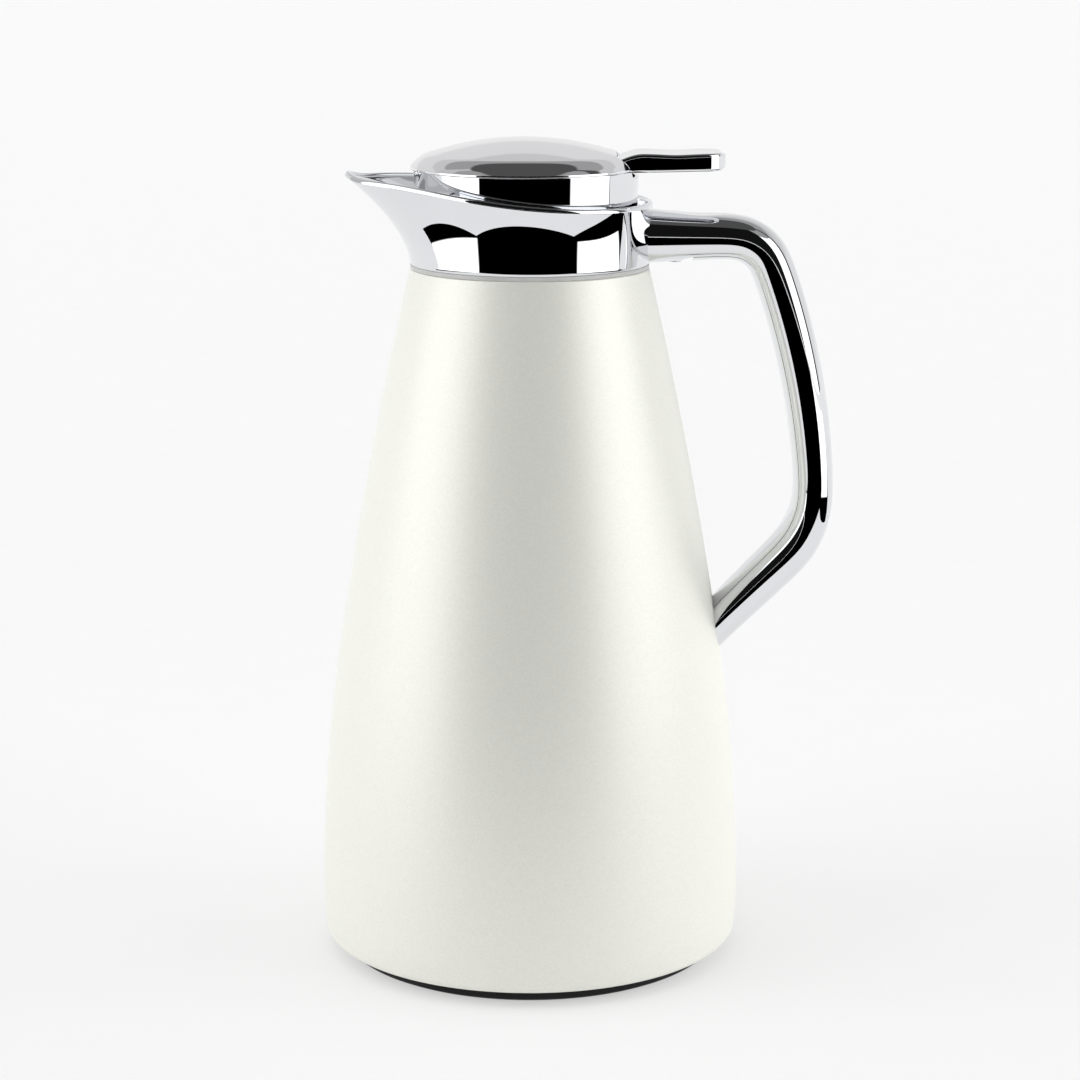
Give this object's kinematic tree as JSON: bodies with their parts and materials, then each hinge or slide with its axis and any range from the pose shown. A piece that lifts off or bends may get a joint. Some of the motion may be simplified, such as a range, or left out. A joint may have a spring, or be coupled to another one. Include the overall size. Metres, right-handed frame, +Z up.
{
  "type": "vacuum jug",
  "caption": "Glass-lined vacuum jug with a tapered lacquered casing, chromed pouring collar, side handle and a screw-in closure with a thumb-lever valve.",
  "frame": {"origin": "centre of the foot ring, on the surface the jug stands on", "axes": "+Z up along the jug's axis; +X towards the handle; -X towards the spout"},
  "size_m": [0.1851, 0.152, 0.2958],
  "materials": {
    "casing_lacquer": "pearl off-white lacquer over steel",
    "chrome_plate": "bright chrome plating over moulded plastic",
    "lid_satin": "pale satin plating over moulded plastic",
    "base_black": "black moulded plastic",
    "foot_rubber": "dark soft rubber",
    "seam_grey": "pale grey moulded ring",
    "seal_silicone": "translucent white silicone",
    "inner_plastic": "dark grey food-grade plastic",
    "silvered_glass": "silvered glass",
    "plain_steel": "stainless steel"
  },
  "bodies": {
    "root": {"outer_casing": "casing_lacquer", "casing_base_ring": "base_black", "base_cap": "base_black", "foot_ring": "foot_rubber", "liner_cushion": "foot_rubber", "liner_outer_bottle": "silvered_glass", "liner_inner_bottle": "silvered_glass", "neck_gasket": "seal_silicone", "clamp_ring": "inner_plastic", "collar_insert": "inner_plastic", "collar_screws": "plain_steel", "collar_seam_ring": "seam_grey", "pouring_collar": "chrome_plate", "handle_shell": "chrome_plate", "handle_inner_cover": "chrome_plate", "handle_top_screw": "plain_steel", "handle_bracket": "plain_steel", "handle_lower_screw": "plain_steel"},
    "closure_seal": {"stopper_seal": "seal_silicone"},
    "closure": {"lid_dome": "lid_satin", "lid_skirt": "chrome_plate", "lever_chassis": "inner_plastic", "stopper_body": "inner_plastic", "stem_guide": "inner_plastic", "lid_screws": "plain_steel", "lever_pin": "plain_steel", "valve_spring": "plain_steel"},
    "lever": {"thumb_lever": "chrome_plate"},
    "valve": {"valve_stem": "plain_steel", "valve_disc": "inner_plastic", "valve_seal": "seal_silicone", "stem_clip": "plain_steel"}
  },
  "joints": [
    {"name": "closure_lift", "type": "slide", "parent": "root", "child": "closure_seal", "axis": [0, 0, 1], "range_m": [0, 0.06]},
    {"name": "closure_turn", "type": "hinge", "parent": "closure_seal", "child": "closure", "pos_m": [0, 0, 0.262], "axis": [0, 0, 1], "range_deg": [0, 720]},
    {"name": "lever_press", "type": "hinge", "parent": "closure", "child": "lever", "pos_m": [0.033, 0, 0.28], "axis": [0, 1, 0], "range_deg": [0, 9], "stiffness_Nm_per_rad": 0.7, "springref_deg": -9.74},
    {"name": "valve_lift", "type": "slide", "parent": "closure", "child": "valve", "axis": [0, 0, 1], "range_m": [0, 0.0055], "deforming": ["valve_spring"]}
  ],
  "couplings": [
    {"joint": "closure_lift", "follows": "closure_turn", "m_per_rad": 0.0047746},
    {"joint": "valve_lift", "follows": "lever_press", "m_per_rad": 0.0345}
  ]
}
